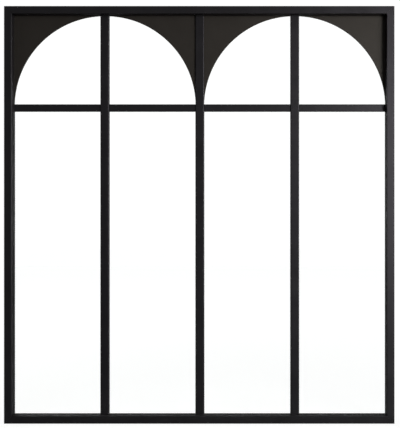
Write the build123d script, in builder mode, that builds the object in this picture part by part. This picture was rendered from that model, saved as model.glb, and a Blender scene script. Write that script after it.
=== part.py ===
from build123d import *
import os

os.makedirs("parts", exist_ok=True)

# A fixed interior window made of aluminium extrusions. It has four bays, a row of
# transoms near the top, and sheet spandrels that turn each pair of bays into an arch.
# Sizes are in millimetres. X runs to the right as seen from the front, Y from front
# to back, and Z up from the underside of the sill. Y = 0 is the middle of the frame's
# depth and of the glass, and front and back sizes are distances from there.

# Outer frame
width = 1220.0
height = 1305.0
frame_depth = 60.0
frame_face = 24.0
frame_wall = 1.6
frame_round = 1.5
mitre_joint = 0.2

# Bars between the panes
bays = 4
mullion_face = 26.5
mullion_front = 10.5
mullion_back = 9.5
mullion_round = 2.0
transom_level = 990.0
transom_face = 21.5
transom_front = 6.5
transom_back = 6.5
transom_round = 1.0
bar_wall = 1.5

# Glazing
glass = 4.0
gasket = 1.5
gasket_lip = 0.8
rebate = 9.0
edge_gap = 3.0
bead_height = 7.5
bead_wall = 1.2
bead_round = 0.8
bead_joint = 0.3
block_length = 50.0
block_inset = 0.5

# Holes for the screws that hold the frame in the wall
fixing_radius = 2.75
jamb_fixing_spacing = 800.0
rail_fixing_spacing = 720.0

# The glass and its gaskets fill a channel that reaches this far each side of Y = 0.
channel = glass / 2 + gasket
bite = rebate - edge_gap
frame_half = frame_depth / 2
frame_floor = frame_face - rebate

# Visible edges of the openings, and the middle lines of bays and mullions
sill_edge = frame_face
head_edge = height - frame_face
transom_bottom = transom_level - transom_face / 2
transom_top = transom_level + transom_face / 2
bay_width = (width - 2 * frame_face - (bays - 1) * mullion_face) / bays
pitch = bay_width + mullion_face
bay_middles = [(i - (bays - 1) / 2) * pitch for i in range(bays)]
mullion_middles = [(i - bays / 2) * pitch for i in range(1, bays)]

# Each arch spans two bays. It touches the head and the posts on both sides of the pair.
arch_radius = bay_width + mullion_face / 2
arch_level = head_edge - arch_radius

# The planes on which gaskets and spandrels lie against the flanges and the beads
front_face = Plane.XZ.offset(channel)
back_face = Plane.XZ.offset(-glass / 2)

up = Vector(0, 0, 1)
right = Vector(1, 0, 0)


def save(part, label):
    part.label = label
    export_step(part, f"parts/{label}.step")


def frame_section():
    """The frame extrusion, with x inwards from the wall: a hollow nose in front of the
    glass and a narrower hollow behind it, which leaves the rebate open to the back."""
    nose = frame_half - channel
    tail = channel + frame_half
    with BuildSketch() as section:
        with BuildLine():
            Polyline(
                (0, -frame_half),
                (frame_face, -frame_half),
                (frame_face, -channel),
                (frame_floor, -channel),
                (frame_floor, frame_half),
                (0, frame_half),
                close=True,
            )
        make_face()
        fillet(section.vertices().sort_by(Axis.Y)[:2], frame_round)
        fillet(section.vertices().sort_by(Axis.Y)[-2:], frame_round / 2)
        with Locations((frame_face / 2, -channel - nose / 2)):
            Rectangle(
                frame_face - 2 * frame_wall, nose - 2 * frame_wall, mode=Mode.SUBTRACT
            )
        with Locations((frame_floor / 2, frame_half - (tail + frame_wall) / 2)):
            Rectangle(
                frame_floor - 2 * frame_wall, tail - frame_wall, mode=Mode.SUBTRACT
            )
    return section.sketch


def frame_member(start, inward, along, length, fixing_spacing):
    """One side of the outer frame, mitred at both ends with a hairline joint, and with
    two holes for wall screws where the glazing bead hides them."""
    end = start + along * length
    middle = (start + end) * 0.5
    cuts = (
        Plane(origin=start, z_dir=inward - along),
        Plane(origin=end, z_dir=inward + along),
    )
    with BuildPart() as member:
        with BuildSketch(Plane(origin=start, x_dir=inward, z_dir=along)):
            add(frame_section())
        extrude(amount=length)
        for cut in cuts:
            split(bisect_by=cut.offset(-mitre_joint / 2), keep=Keep.BOTTOM)
        with BuildSketch(Plane(origin=middle, x_dir=along, z_dir=-inward)):
            with Locations((0, (channel + mullion_back) / 2)):
                with GridLocations(fixing_spacing, 0, 2, 1):
                    Circle(fixing_radius)
        extrude(amount=-frame_floor, mode=Mode.SUBTRACT)
    return member.part


def mullion(x):
    """A hollow post: its front flange stands between the sill and the head, and its web
    runs on to the floor of their rebates."""
    flange = mullion_front - channel
    web = mullion_face - 2 * rebate
    web_depth = channel + mullion_back
    with BuildPart() as post:
        with BuildSketch(Plane.XY.offset(sill_edge)) as section:
            with Locations((x, -channel - flange / 2)):
                Rectangle(mullion_face, flange)
                fillet(section.vertices().sort_by(Axis.Y)[:2], mullion_round)
                Rectangle(
                    mullion_face - 2 * bar_wall, flange - 2 * bar_wall, mode=Mode.SUBTRACT
                )
        extrude(amount=head_edge - sill_edge)
        with BuildSketch(Plane.XY.offset(frame_floor)):
            with Locations((x, mullion_back - web_depth / 2)):
                Rectangle(web, web_depth)
                Rectangle(
                    web - 2 * bar_wall, web_depth - 2 * bar_wall, mode=Mode.SUBTRACT
                )
        extrude(amount=height - 2 * frame_floor)
    return post.part


def transom(x):
    """A solid T bar across one bay, thinner than the posts. Its flange ends on their
    visible edges, and its web runs on to the floor of their rebates."""
    flange = transom_front - channel
    web = transom_face - 2 * rebate
    web_depth = channel + transom_back
    with BuildPart() as bar:
        with BuildSketch(Plane.YZ.offset(x - bay_width / 2)) as section:
            with Locations((-channel - flange / 2, transom_level)):
                Rectangle(flange, transom_face)
                fillet(section.vertices().sort_by(Axis.X)[:2], transom_round)
        extrude(amount=bay_width)
        with BuildSketch(Plane.YZ.offset(x - bay_width / 2 - rebate)):
            with Locations((transom_back - web_depth / 2, transom_level)):
                Rectangle(web_depth, web)
        extrude(amount=bay_width + 2 * rebate)
    return bar.part


def pane(x, low, high):
    """A sheet of glass whose edges reach into the rebates on all four sides."""
    with BuildPart() as sheet:
        with BuildSketch(Plane.XZ):
            with Locations((x, (low + high) / 2)):
                Rectangle(bay_width + 2 * bite, high - low + 2 * bite)
        extrude(amount=glass / 2, both=True)
    return sheet.part


def spandrel_blank(bay):
    """Centre and size, in X and Z, of the rectangle that a spandrel is cut from. It
    reaches into the rebates of the head and of the post where its half of the arch
    springs, and stops at the gasket's lip on the other two sides."""
    springs_from = -1 if bay % 2 == 0 else 1
    low = transom_top + gasket_lip
    high = head_edge + bite
    centre = (bay_middles[bay] + springs_from * (bite + gasket_lip) / 2, (low + high) / 2)
    return centre, (bay_width + bite - gasket_lip, high - low)


def spandrel(bay, face):
    """A sheet that closes the corner over the arch and lies against the glass, with its
    front on the given plane. It takes the gasket's place, and so has its thickness."""
    arch_middle = mullion_middles[bay // 2 * 2]
    centre, size = spandrel_blank(bay)
    with BuildPart() as sheet:
        with BuildSketch(face):
            with Locations(centre):
                Rectangle(*size)
            with Locations((arch_middle, arch_level)):
                Circle(arch_radius, mode=Mode.SUBTRACT)
            with Locations((arch_middle, arch_level / 2)):
                Rectangle(2 * arch_radius, arch_level, mode=Mode.SUBTRACT)
        extrude(amount=-gasket)
    return sheet.part


def gasket_set(x, low, high, blanks):
    """The rubber round one pane: a flat ring on each face of the glass, whose lip shows
    beside the flange and which stops at a spandrel, and two blocks under the glass."""
    with BuildPart() as rubber:
        for face in (front_face, back_face):
            with BuildSketch(face):
                with Locations((x, (low + high) / 2)):
                    Rectangle(bay_width + 2 * bite, high - low + 2 * bite)
                    Rectangle(
                        bay_width - 2 * gasket_lip,
                        high - low - 2 * gasket_lip,
                        mode=Mode.SUBTRACT,
                    )
                for centre, size in blanks:
                    with Locations(centre):
                        Rectangle(*size, mode=Mode.SUBTRACT)
            extrude(amount=-gasket)
        with BuildSketch(Plane.XY.offset(low - rebate)):
            with Locations((x, 0)):
                with GridLocations(bay_width / 2, 0, 2, 1):
                    Rectangle(block_length, glass - 2 * block_inset)
        extrude(amount=edge_gap)
    return rubber.part


def box_bead():
    """The hollow bead of posts, sill and head, with x inwards from the rebate's floor."""
    reach = mullion_back - channel
    with BuildSketch() as section:
        with Locations((bead_height / 2, channel + reach / 2)):
            Rectangle(bead_height, reach)
            fillet(section.vertices().group_by(Axis.X)[-1].sort_by(Axis.Y)[-1], bead_round)
            Rectangle(
                bead_height - 2 * bead_wall, reach - 2 * bead_wall, mode=Mode.SUBTRACT
            )
    return section.sketch


def flat_bead():
    """The solid bead of the transoms, drawn the same way."""
    reach = transom_back - channel
    with BuildSketch() as section:
        with Locations((bead_height / 2, channel + reach / 2)):
            Rectangle(bead_height, reach)
            fillet(section.vertices().group_by(Axis.X)[-1].sort_by(Axis.Y)[-1], bead_round)
    return section.sketch


def bead_set(x, low, high, low_section, high_section):
    """Four beads that hold one pane from behind. The upright ones run to the floors of
    the rebates above and below, and the level ones fit between them with a fine joint."""
    left_floor = x - bay_width / 2 - rebate
    right_floor = x + bay_width / 2 + rebate
    low_floor = low - rebate
    high_floor = high + rebate
    upright = high_floor - low_floor
    inset = bead_height + bead_joint
    level = right_floor - left_floor - 2 * inset
    post_section = box_bead()
    sides = (
        (Vector(left_floor, 0, low_floor), right, up, upright, post_section),
        (Vector(right_floor, 0, high_floor), -right, -up, upright, post_section),
        (Vector(right_floor - inset, 0, low_floor), up, -right, level, low_section),
        (Vector(left_floor + inset, 0, high_floor), -up, right, level, high_section),
    )
    with BuildPart() as beads:
        for start, inward, along, length, section in sides:
            with BuildSketch(Plane(origin=start, x_dir=inward, z_dir=along)):
                add(section)
            extrude(amount=length)
    return beads.part


# Outer frame
low_left = Vector(-width / 2, 0, 0)
low_right = Vector(width / 2, 0, 0)
high_left = Vector(-width / 2, 0, height)
high_right = Vector(width / 2, 0, height)
save(frame_member(low_left, right, up, height, jamb_fixing_spacing), "left_jamb")
save(frame_member(high_right, -right, -up, height, jamb_fixing_spacing), "right_jamb")
save(frame_member(low_right, up, -right, width, rail_fixing_spacing), "sill_rail")
save(frame_member(high_left, -up, right, width, rail_fixing_spacing), "head_rail")

# Posts between the bays, from left to right
for name, x in zip(("left", "centre", "right"), mullion_middles):
    save(mullion(x), f"{name}_mullion")

# Everything that belongs to one bay, from left to right
for bay, x in enumerate(bay_middles):
    number = bay + 1
    save(transom(x), f"transom_{number}")
    save(pane(x, sill_edge, transom_bottom), f"lower_pane_{number}")
    save(pane(x, transom_top, head_edge), f"upper_pane_{number}")
    save(spandrel(bay, front_face), f"spandrel_{number}")
    save(spandrel(bay, back_face), f"rear_spandrel_{number}")
    save(gasket_set(x, sill_edge, transom_bottom, []), f"lower_gaskets_{number}")
    save(
        gasket_set(x, transom_top, head_edge, [spandrel_blank(bay)]),
        f"upper_gaskets_{number}",
    )
    save(
        bead_set(x, sill_edge, transom_bottom, box_bead(), flat_bead()),
        f"lower_beads_{number}",
    )
    save(
        bead_set(x, transom_top, head_edge, flat_bead(), box_bead()),
        f"upper_beads_{number}",
    )
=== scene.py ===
import math

import bmesh
import bpy
from mathutils import Matrix, Vector


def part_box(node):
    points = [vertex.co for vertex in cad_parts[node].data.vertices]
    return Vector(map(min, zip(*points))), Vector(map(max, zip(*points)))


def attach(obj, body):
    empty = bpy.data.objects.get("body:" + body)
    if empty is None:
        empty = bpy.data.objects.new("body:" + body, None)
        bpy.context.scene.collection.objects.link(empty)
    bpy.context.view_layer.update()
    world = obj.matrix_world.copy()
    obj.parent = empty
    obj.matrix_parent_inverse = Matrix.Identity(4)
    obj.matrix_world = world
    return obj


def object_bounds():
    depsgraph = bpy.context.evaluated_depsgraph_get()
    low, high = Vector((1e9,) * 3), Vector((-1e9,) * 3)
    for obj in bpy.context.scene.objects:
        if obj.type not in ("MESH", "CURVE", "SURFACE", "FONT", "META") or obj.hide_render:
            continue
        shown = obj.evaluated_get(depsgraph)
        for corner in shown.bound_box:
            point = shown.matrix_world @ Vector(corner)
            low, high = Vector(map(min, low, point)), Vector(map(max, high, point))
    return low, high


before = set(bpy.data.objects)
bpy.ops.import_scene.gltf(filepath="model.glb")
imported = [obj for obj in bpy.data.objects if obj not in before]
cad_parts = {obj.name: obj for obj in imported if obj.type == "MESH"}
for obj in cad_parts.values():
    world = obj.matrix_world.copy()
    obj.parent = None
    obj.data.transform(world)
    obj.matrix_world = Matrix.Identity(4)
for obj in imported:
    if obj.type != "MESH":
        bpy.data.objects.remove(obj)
cad_low, cad_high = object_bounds()

# Outer frame: four hollow aluminium extrusions, mitred at the corners over hidden
# cleats. They are powder coated in a fine satin black before they are cut, so the
# coat has a slight grain, is rubbed paler on the edges, and gathers some dust.
COAT_BLACK = (0.0110, 0.0107, 0.0117)
COAT_GLEAM = (0.97, 0.91, 1.0)
COAT_SHINE = 0.43
COAT_ROUGHNESS = (0.32, 0.42)
COAT_GRAIN = (0.0010, 0.00008)
COAT_DUST = 0.05
DUST_COLOUR = (0.16, 0.15, 0.135)
DUST_DULLS_BY = 0.5
EDGE_WIDTH = 0.0007
CLOUD_SIZE = 0.11
CLOUD_SHADES = (0.86, 1.14)
SPECKLE_SIZE = 0.0016
SPECKLE_SHADE = 1.5
RUB_SIZE = 0.014
RUBBED_SHADE = 2.2
POLISH_SIZE = 0.05


class Finish:
    """A material under construction: short calls that add a node and wire its inputs."""

    def __init__(self, name):
        self.material = bpy.data.materials.new(name)
        self.material.use_nodes = True
        self.tree = self.material.node_tree
        self.tree.nodes.clear()
        self.output = self.tree.nodes.new("ShaderNodeOutputMaterial")

    def add(self, kind, sockets=None, **settings):
        node = self.tree.nodes.new(kind)
        for key, value in settings.items():
            setattr(node, key, value)
        for key, value in (sockets or {}).items():
            if isinstance(value, bpy.types.NodeSocket):
                self.tree.links.new(value, node.inputs[key])
            else:
                node.inputs[key].default_value = value
        return node

    def show(self, shader):
        """Makes a shader node the material's surface."""
        self.tree.links.new(shader.outputs[0], self.output.inputs["Surface"])

    def place(self):
        return self.add("ShaderNodeTexCoord").outputs["Object"]

    def noise(self, size, detail):
        """Noise whose blotches are about size metres across."""
        return self.add(
            "ShaderNodeTexNoise",
            {"Vector": self.place(), "Scale": 1 / size, "Detail": detail},
        ).outputs["Fac"]

    def ramp(self, value, low, high, to_low=0.0, to_high=1.0):
        return self.add(
            "ShaderNodeMapRange",
            {
                "Value": value,
                "From Min": low,
                "From Max": high,
                "To Min": to_low,
                "To Max": to_high,
            },
        ).outputs["Result"]

    def reckon(self, operation, one, other):
        """One sum of two values, such as MULTIPLY or MAXIMUM."""
        return self.add("ShaderNodeMath", {0: one, 1: other}, operation=operation).outputs[0]

    def blend(self, share, one, other):
        """One colour that goes over to another where the share is 1."""
        mix = {"Factor": 0, "A": 6, "B": 7}
        sockets = {mix["Factor"]: share, mix["A"]: one, mix["B"]: other}
        return self.add("ShaderNodeMix", sockets, data_type="RGBA").outputs[2]

    def edges(self, radius):
        """(softened normal, mask that is 1 on edges sharper than radius)."""
        soft = self.add("ShaderNodeBevel", {"Radius": radius}, samples=4)
        shape = self.add("ShaderNodeNewGeometry")
        dot = self.add(
            "ShaderNodeVectorMath",
            {0: soft.outputs[0], 1: shape.outputs["True Normal"]},
            operation="DOT_PRODUCT",
        )
        return soft.outputs[0], self.ramp(dot.outputs["Value"], 0.995, 0.90)

    def upward(self):
        """Mask that is 1 on faces that look up, where dust settles."""
        shape = self.add("ShaderNodeNewGeometry")
        split = self.add("ShaderNodeSeparateXYZ", {0: shape.outputs["True Normal"]})
        return self.ramp(split.outputs["Z"], 0.6, 0.95)

    def bump(self, height, depth, normal=None):
        sockets = {"Height": height, "Distance": depth}
        if normal is not None:
            sockets["Normal"] = normal
        return self.add("ShaderNodeBump", sockets).outputs[0]


def shade(colour, factor=1.0):
    return tuple(channel * factor for channel in colour) + (1.0,)


def coating(name, colour, gleam, roughness, grain, dust):
    """A powder coat: grain, cloudy roughness, paler worn edges and dust on top faces."""
    coat = Finish(name)
    softened, on_edge = coat.edges(EDGE_WIDTH)
    cloudy = coat.noise(CLOUD_SIZE, 4.0)
    speckle = coat.noise(SPECKLE_SIZE, 2.0)
    rubbed = coat.noise(RUB_SIZE, 5.0)
    thin, thick = CLOUD_SHADES
    tone = coat.blend(coat.ramp(cloudy, 0.3, 0.7), shade(colour, thin), shade(colour, thick))
    speckled = coat.ramp(speckle, 0.55, 0.8, 0.0, 0.5)
    tone = coat.blend(speckled, tone, shade(colour, SPECKLE_SHADE))
    worn = coat.reckon("MULTIPLY", on_edge, coat.ramp(rubbed, 0.42, 0.66, 0.1, 0.8))
    tone = coat.blend(worn, tone, shade(colour, RUBBED_SHADE))
    patches = coat.ramp(rubbed, 0.35, 0.75, 0.0, dust)
    settled = coat.reckon("MULTIPLY", coat.upward(), patches)
    tone = coat.blend(settled, tone, shade(DUST_COLOUR))
    polish = coat.ramp(coat.noise(POLISH_SIZE, 5.0), 0.3, 0.7, *roughness)
    dulled = coat.reckon("MULTIPLY", settled, DUST_DULLS_BY)
    grain_size, grain_depth = grain
    coat.show(
        coat.add(
            "ShaderNodeBsdfPrincipled",
            {
                "Base Color": tone,
                "Roughness": coat.reckon("ADD", polish, dulled),
                "Specular IOR Level": COAT_SHINE,
                "Specular Tint": shade(gleam),
                "Normal": coat.bump(coat.noise(grain_size, 2.0), grain_depth, softened),
            },
        )
    )
    return coat.material


def repaint(nodes, material):
    """Gives CAD nodes their finish."""
    for name in nodes:
        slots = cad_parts[name].data.materials
        slots.clear()
        slots.append(material)


black_coat = coating(
    "black_coat", COAT_BLACK, COAT_GLEAM, COAT_ROUGHNESS, COAT_GRAIN, COAT_DUST
)
repaint(("left_jamb", "right_jamb", "sill_rail", "head_rail"), black_coat)

# Posts and transoms: slimmer extrusions in the same coat. The posts are hollow and
# screwed to sill and head through their webs. The transoms are solid T bars between
# the posts, set back a little behind the posts' faces.
BAYS = (1, 2, 3, 4)


def in_every_bay(*pieces):
    return [f"{piece}_{bay}" for piece in pieces for bay in BAYS]


repaint(("left_mullion", "centre_mullion", "right_mullion"), black_coat)
repaint(in_every_bay("transom"), black_coat)

# Spandrels: laser-cut aluminium sheet, coated in a flatter black that looks a little
# warmer than the extrusions. One lies on each side of the upper panes, held by the
# same beads as the glass, and its round edge is half of an arch.
SHEET_BLACK = (0.0212, 0.0183, 0.0160)
SHEET_GLEAM = (1.0, 0.92, 0.82)
SHEET_ROUGHNESS = (0.44, 0.54)
SHEET_GRAIN = (0.0012, 0.00008)

sheet_coat = coating(
    "sheet_coat", SHEET_BLACK, SHEET_GLEAM, SHEET_ROUGHNESS, SHEET_GRAIN, COAT_DUST
)
repaint(in_every_bay("spandrel", "rear_spandrel"), sheet_coat)

# Glass: clear 4 mm float with ground edges that the rebates hide. It is clean, with
# the faint waviness of real sheets, a thin film in places and a trace of iron green.
GLASS_TINT = (0.985, 0.995, 0.990)
GLASS_SHADE = (0.93, 0.95, 0.94)
GLASS_IOR = 1.5
RIPPLE_SIZE = 0.09
RIPPLE_DEPTH = 0.00004
FILM_SIZE = 0.03
FILM_ROUGHNESS = 0.02

clear = Finish("clear_glass")
sheet_glass = clear.add(
    "ShaderNodeBsdfPrincipled",
    {
        "Base Color": shade(GLASS_TINT),
        "Roughness": clear.ramp(clear.noise(FILM_SIZE, 6.0), 0.45, 0.75, 0.0, FILM_ROUGHNESS),
        "IOR": GLASS_IOR,
        "Transmission Weight": 1.0,
        "Normal": clear.bump(clear.noise(RIPPLE_SIZE, 1.0), RIPPLE_DEPTH),
    },
)
lets_light_by = clear.add("ShaderNodeBsdfTransparent", {"Color": shade(GLASS_SHADE)})
in_shadow = clear.add("ShaderNodeLightPath").outputs["Is Shadow Ray"]
clear.show(
    clear.add(
        "ShaderNodeMixShader",
        {0: in_shadow, 1: sheet_glass.outputs[0], 2: lets_light_by.outputs[0]},
    )
)
repaint(in_every_bay("lower_pane", "upper_pane"), clear.material)

# Gaskets: strips of black rubber pressed against both faces of the glass, and the
# rubber blocks that it stands on. The strips are extruded, so their skin is finely
# uneven, and a dull bloom has come out on it.
RUBBER_BLACK = (0.0120, 0.0120, 0.0118)
RUBBER_SHINE = 0.4
RUBBER_ROUGHNESS = (0.62, 0.8)
PATCH_SIZE = 0.004
BLOOM_SIZE = 0.006
BLOOM_SHADE = 2.2
SKIN_GRAIN = 0.0006
SKIN_DEPTH = 0.00004

rubber = Finish("gasket_rubber")
bloom = rubber.ramp(rubber.noise(BLOOM_SIZE, 5.0), 0.4, 0.75, 0.0, 0.5)
patchy = rubber.noise(PATCH_SIZE, 3.0)
rubber.show(
    rubber.add(
        "ShaderNodeBsdfPrincipled",
        {
            "Base Color": rubber.blend(
                bloom, shade(RUBBER_BLACK), shade(RUBBER_BLACK, BLOOM_SHADE)
            ),
            "Roughness": rubber.ramp(patchy, 0.3, 0.7, *RUBBER_ROUGHNESS),
            "Specular IOR Level": RUBBER_SHINE,
            "Normal": rubber.bump(rubber.noise(SKIN_GRAIN, 3.0), SKIN_DEPTH),
        },
    )
)
repaint(in_every_bay("lower_gaskets", "upper_gaskets"), rubber.material)

# Glazing beads: hollow strips round each pane on the back, flat ones on the
# transoms. They are cut square and butted, in the same coat as the bars.
repaint(in_every_bay("lower_beads", "upper_beads"), black_coat)

# Bead screws: small pan-head screws of blackened stainless steel. They go sideways
# through the hollow beads into the posts and the frame, one about every 20 cm, and
# stop where they bite, so their cross slots lie at every angle.
BEAD_HEIGHT = 0.0075
SCREW_BEHIND_GLASS = 0.0061
SCREW_SPACING = 0.215
SCREW_END_GAP = 0.045
SCREW_SEED = 7
SCREW_RADIUS = 0.0021
SCREW_RISE = 0.00095
SCREW_SUNK = 0.0002
SEAT_SHARE = 0.96
HEAD_SIDES = 20
HEAD_PROFILE = ((1.0, 0.10), (1.0, 0.45), (0.90, 0.80), (0.70, 1.0))
SLOT_WIDTH = 0.00055
SLOT_REACH = 0.0012
SLOT_DEPTH = 0.0008
SLOT_TAPER = (0.6, 0.8)
SCREW_BLACK = (0.022, 0.021, 0.020)
SCREW_ROUGHNESS = (0.30, 0.42)
SCREW_GRAIN = (0.0004, 0.00001)


def ring(mesh, radius, height):
    turn = 2 * math.pi / HEAD_SIDES
    return [
        mesh.verts.new((radius * math.cos(i * turn), radius * math.sin(i * turn), height))
        for i in range(HEAD_SIDES)
    ]


def loop_edges(mesh, loop):
    return [
        mesh.edges.get((a, b)) or mesh.edges.new((a, b))
        for a, b in zip(loop, loop[1:] + loop[:1])
    ]


def join_loops(mesh, one, other):
    bmesh.ops.bridge_loops(mesh, edges=loop_edges(mesh, one) + loop_edges(mesh, other))


def cross(mesh, reach, width, height):
    """Outline of a cross slot, anticlockwise from the first arm."""
    half = width / 2
    outline = []
    for quarter in range(4):
        turned = Matrix.Rotation(quarter * math.pi / 2, 3, "Z")
        for corner in ((reach, -half), (reach, half), (half, half)):
            outline.append(mesh.verts.new(turned @ Vector((*corner, height))))
    return outline


def screw_head():
    """A pan head with a tapered cross slot, its seat at z = 0 and its top along +z."""
    head = bmesh.new()
    rings = [ring(head, SCREW_RADIUS * SEAT_SHARE, -SCREW_SUNK)]
    for out, rise in HEAD_PROFILE:
        rings.append(ring(head, SCREW_RADIUS * out, SCREW_RISE * rise))
    head.faces.new(list(reversed(rings[0])))
    mouth = cross(head, SLOT_REACH, SLOT_WIDTH, SCREW_RISE)
    shorter, narrower = SLOT_TAPER
    floor = cross(head, SLOT_REACH * shorter, SLOT_WIDTH * narrower, SCREW_RISE - SLOT_DEPTH)
    for one, other in zip(rings + [mouth], rings[1:] + [mouth, floor]):
        join_loops(head, one, other)
    head.faces.new(floor)
    bmesh.ops.recalc_face_normals(head, faces=head.faces)
    mesh = bpy.data.meshes.new("screw_head")
    head.to_mesh(mesh)
    head.free()
    return bpy.data.objects.new("screw_head", mesh)


def bead_lines():
    """(start, end, outward) of each row of screws, along the beads' inner sides."""
    rows = []
    for bay in BAYS:
        for level in ("lower", "upper"):
            low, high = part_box(f"{level}_beads_{bay}")
            left, right = low.x + BEAD_HEIGHT, high.x - BEAD_HEIGHT
            bottom, top = low.z + SCREW_END_GAP, high.z - SCREW_END_GAP
            rows.append(((left, bottom), (left, top), (1, 0)))
            rows.append(((right, bottom), (right, top), (-1, 0)))
            start, end = left + SCREW_END_GAP, right - SCREW_END_GAP
            if level == "lower":
                over_sill = low.z + BEAD_HEIGHT
                rows.append(((start, over_sill), (end, over_sill), (0, 1)))
            else:
                under_head = high.z - BEAD_HEIGHT
                rows.append(((start, under_head), (end, under_head), (0, -1)))
    return rows


def screw_rows_tree():
    """Geometry Nodes that stand screws along edges, each turned by chance."""
    tree = bpy.data.node_groups.new("screw_rows", "GeometryNodeTree")
    face = tree.interface
    sockets = {}
    for name, kind in (
        ("Rows", "NodeSocketGeometry"),
        ("Screw", "NodeSocketObject"),
        ("Spacing", "NodeSocketFloat"),
        ("Seed", "NodeSocketInt"),
        ("Finish", "NodeSocketMaterial"),
    ):
        sockets[name] = face.new_socket(name, in_out="INPUT", socket_type=kind).identifier
    face.new_socket("Screws", in_out="OUTPUT", socket_type="NodeSocketGeometry")

    def node(kind, links=None, values=None, **settings):
        made = tree.nodes.new(kind)
        for key, value in settings.items():
            setattr(made, key, value)
        for key, value in (links or {}).items():
            tree.links.new(value, made.inputs[key])
        for key, value in (values or {}).items():
            made.inputs[key].default_value = value
        return made

    given = node("NodeGroupInput").outputs
    curves = node("GeometryNodeMeshToCurve", {"Mesh": given["Rows"]})
    points = node(
        "GeometryNodeCurveToPoints",
        {"Curve": curves.outputs[0], "Length": given["Spacing"]},
        mode="LENGTH",
    )
    outward = node(
        "GeometryNodeInputNamedAttribute", None, {"Name": "outward"}, data_type="FLOAT_VECTOR"
    )
    upright = node(
        "FunctionNodeAlignRotationToVector", {"Vector": outward.outputs[0]}, axis="Z"
    )
    least, most = 2, 3
    chance = node(
        "FunctionNodeRandomValue",
        {"Seed": given["Seed"]},
        {least: 0.0, most: math.pi},
        data_type="FLOAT",
    )
    spin = node(
        "FunctionNodeAxisAngleToRotation",
        {"Angle": chance.outputs[1]},
        {"Axis": (0, 0, 1)},
    )
    turned = node(
        "FunctionNodeRotateRotation",
        {0: upright.outputs[0], 1: spin.outputs[0]},
        rotation_space="LOCAL",
    )
    shape = node("GeometryNodeObjectInfo", {"Object": given["Screw"]})
    stood = node(
        "GeometryNodeInstanceOnPoints",
        {
            "Points": points.outputs[0],
            "Instance": shape.outputs["Geometry"],
            "Rotation": turned.outputs[0],
        },
    )
    solid = node("GeometryNodeRealizeInstances", {0: stood.outputs[0]})
    painted = node(
        "GeometryNodeSetMaterial", {"Geometry": solid.outputs[0], "Material": given["Finish"]}
    )
    node("NodeGroupOutput", {0: painted.outputs[0]})
    return tree, sockets


def bead_screws(finish):
    rows = bead_lines()
    corners, outwards = [], []
    for start, end, (out_x, out_z) in rows:
        for x, z in (start, end):
            corners.append((x, SCREW_BEHIND_GLASS, z))
            outwards.append((out_x, 0.0, out_z))
    mesh = bpy.data.meshes.new("screw_rows")
    mesh.from_pydata(corners, [(2 * i, 2 * i + 1) for i in range(len(rows))], [])
    held = mesh.attributes.new("outward", "FLOAT_VECTOR", "POINT")
    held.data.foreach_set("vector", [value for row in outwards for value in row])
    rows_object = bpy.data.objects.new("screw_rows", mesh)
    bpy.context.scene.collection.objects.link(rows_object)
    head = screw_head()
    tree, sockets = screw_rows_tree()
    modifier = rows_object.modifiers.new("screws", "NODES")
    modifier.node_group = tree
    modifier[sockets["Screw"]] = head
    modifier[sockets["Spacing"]] = SCREW_SPACING
    modifier[sockets["Seed"]] = SCREW_SEED
    modifier[sockets["Finish"]] = finish
    ready = bpy.context.evaluated_depsgraph_get()
    plain = bpy.data.meshes.new_from_object(rows_object.evaluated_get(ready))
    bpy.data.objects.remove(rows_object)
    bpy.data.objects.remove(head)
    screws = bpy.data.objects.new("bead_screws", plain)
    bpy.context.scene.collection.objects.link(screws)
    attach(screws, "root")


bead_screws(
    coating("blackened_steel", SCREW_BLACK, COAT_GLEAM, SCREW_ROUGHNESS, SCREW_GRAIN, 0.0)
)

# Studio: a pale floor and a wall far behind, white to the camera, also through glass.
# The floor dims a little near the window and keeps its shadow. Two large soft lamps
# stand to the right in front, a weak one to the right, and one lights the back.
STUDIO_GREY = (0.12, 0.12, 0.12)
FLOOR_Z = -0.0005
FLOOR_GLOW = (0.93, 1.0)
FLOOR_MIRRORED = 0.02
WALL_Y = 7.0
WALL_TOP = 9.0
WALL_GLOW = (1.0, 1.0)
WALL_MIRRORED = 0.05
SIDE = 12.0
NEAR_WINDOW = 0.7
FAR_FROM_WINDOW = 2.6
THROUGH_GLASS = 1.08
SURROUNDINGS = (0.13, 0.13, 0.13)
WHITE = (1.0, 1.0, 1.0)


def studio_plane(name, corners, glow, mirrored):
    """A matt plane that the camera sees white, and that coats mirror only faintly."""
    mesh = bpy.data.meshes.new(name)
    mesh.from_pydata(corners, [], [(0, 1, 2, 3)])
    plane = bpy.data.objects.new(name, mesh)
    bpy.context.scene.collection.objects.link(plane)
    paint = Finish(name)
    rays = paint.add("ShaderNodeLightPath").outputs
    away = paint.add("ShaderNodeVectorMath", {0: paint.place()}, operation="LENGTH")
    local = paint.ramp(away.outputs["Value"], NEAR_WINDOW, FAR_FROM_WINDOW, *glow)
    through = paint.ramp(rays["Is Transmission Ray"], 0.0, 1.0, 1.0, THROUGH_GLASS)
    direct = paint.reckon("MULTIPLY", local, through)
    strength = paint.ramp(rays["Glossy Depth"], 0.0, 1.0, direct, mirrored)
    seen = rays["Is Camera Ray"]
    for other in ("Is Transmission Ray", "Is Glossy Ray"):
        seen = paint.reckon("MAXIMUM", seen, rays[other])
    shown = paint.reckon("MULTIPLY", seen, strength)
    matt = paint.add("ShaderNodeBsdfDiffuse", {"Color": shade(STUDIO_GREY)})
    white = paint.add("ShaderNodeEmission", {"Strength": shown})
    both = {0: matt.outputs[0], 1: white.outputs[0]}
    paint.show(paint.add("ShaderNodeAddShader", both))
    mesh.materials.append(paint.material)


def soft_lamp(name, place, aim, size, power):
    light = bpy.data.lights.new(name, "AREA")
    light.shape = "RECTANGLE"
    light.size, light.size_y = size
    light.energy = power
    lamp = bpy.data.objects.new(name, light)
    lamp.location = place
    lamp.rotation_euler = (Vector(aim) - Vector(place)).to_track_quat("-Z", "Y").to_euler()
    bpy.context.scene.collection.objects.link(lamp)


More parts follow.
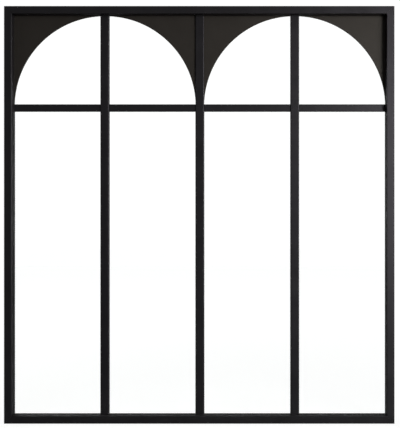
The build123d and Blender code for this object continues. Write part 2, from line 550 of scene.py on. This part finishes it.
def surroundings():
    """A dim even world, white where the camera sees it directly or through glass."""
    world = bpy.data.worlds.new("studio")
    world.use_nodes = True
    bpy.context.scene.world = world
    tree = world.node_tree
    tree.nodes.clear()
    rays = tree.nodes.new("ShaderNodeLightPath").outputs
    seen = tree.nodes.new("ShaderNodeMath")
    seen.operation = "MAXIMUM"
    tree.links.new(rays["Is Camera Ray"], seen.inputs[0])
    tree.links.new(rays["Is Transmission Ray"], seen.inputs[1])
    through = tree.nodes.new("ShaderNodeMapRange")
    through.inputs["To Min"].default_value = 1.0
    through.inputs["To Max"].default_value = THROUGH_GLASS
    tree.links.new(rays["Is Transmission Ray"], through.inputs["Value"])
    dim = tree.nodes.new("ShaderNodeBackground")
    dim.inputs["Color"].default_value = shade(SURROUNDINGS)
    white = tree.nodes.new("ShaderNodeBackground")
    white.inputs["Color"].default_value = shade(WHITE)
    tree.links.new(through.outputs["Result"], white.inputs["Strength"])
    chosen = tree.nodes.new("ShaderNodeMixShader")
    for index, source in enumerate((seen, dim, white)):
        tree.links.new(source.outputs[0], chosen.inputs[index])
    shown = tree.nodes.new("ShaderNodeOutputWorld")
    tree.links.new(chosen.outputs[0], shown.inputs["Surface"])


floor_corners = [(-SIDE, -SIDE), (SIDE, -SIDE), (SIDE, WALL_Y), (-SIDE, WALL_Y)]
studio_plane("floor", [(x, y, FLOOR_Z) for x, y in floor_corners], FLOOR_GLOW, FLOOR_MIRRORED)
wall_corners = [(-SIDE, FLOOR_Z), (SIDE, FLOOR_Z), (SIDE, WALL_TOP), (-SIDE, WALL_TOP)]
studio_plane("backdrop", [(x, WALL_Y, z) for x, z in wall_corners], WALL_GLOW, WALL_MIRRORED)
soft_lamp("key", (3.0, -3.2, 1.2), (0.0, 0.0, 0.75), (2.2, 2.4), 72.0)
soft_lamp("front", (2.3, -3.8, 1.2), (0.0, 0.0, 0.75), (1.2, 1.8), 50.0)
soft_lamp("side", (2.8, -0.7, 1.2), (-0.3, 0.0, 0.9), (0.9, 1.4), 12.0)
soft_lamp("back_fill", (-2.4, 1.9, 2.9), (0.0, 0.0, 0.6), (1.8, 1.8), 50.0)
surroundings()

# Camera: level, square to the window, a little to the right of its middle, with the
# view shifted back so that the window fills the picture as in the photograph.
# Places in the picture are in pixels of the photograph, from its left edge.
CAMERA_DISTANCE = 2.368
EYE_LEVEL = 0.6552
SENSOR = 36.0
PIXELS_PER_METRE = 320.26
PICTURE_HEIGHT = 428.0
PICTURE_MIDDLE = 200.0
WINDOW_MIDDLE = 199.2
CAMERA_MIDDLE = 255.0

camera_data = bpy.data.cameras.new("camera")
camera_data.sensor_width = SENSOR
camera_data.lens = SENSOR * CAMERA_DISTANCE * PIXELS_PER_METRE / PICTURE_HEIGHT
camera_data.shift_x = (PICTURE_MIDDLE - CAMERA_MIDDLE) / PICTURE_HEIGHT
camera = bpy.data.objects.new("camera", camera_data)
camera_x = (CAMERA_MIDDLE - WINDOW_MIDDLE) / PIXELS_PER_METRE
camera.location = (camera_x, cad_low.y - CAMERA_DISTANCE, EYE_LEVEL)
camera.rotation_euler = (math.radians(90), 0, 0)
bpy.context.scene.collection.objects.link(camera)
bpy.context.scene.camera = camera
bpy.context.scene.view_settings.view_transform = "Standard"
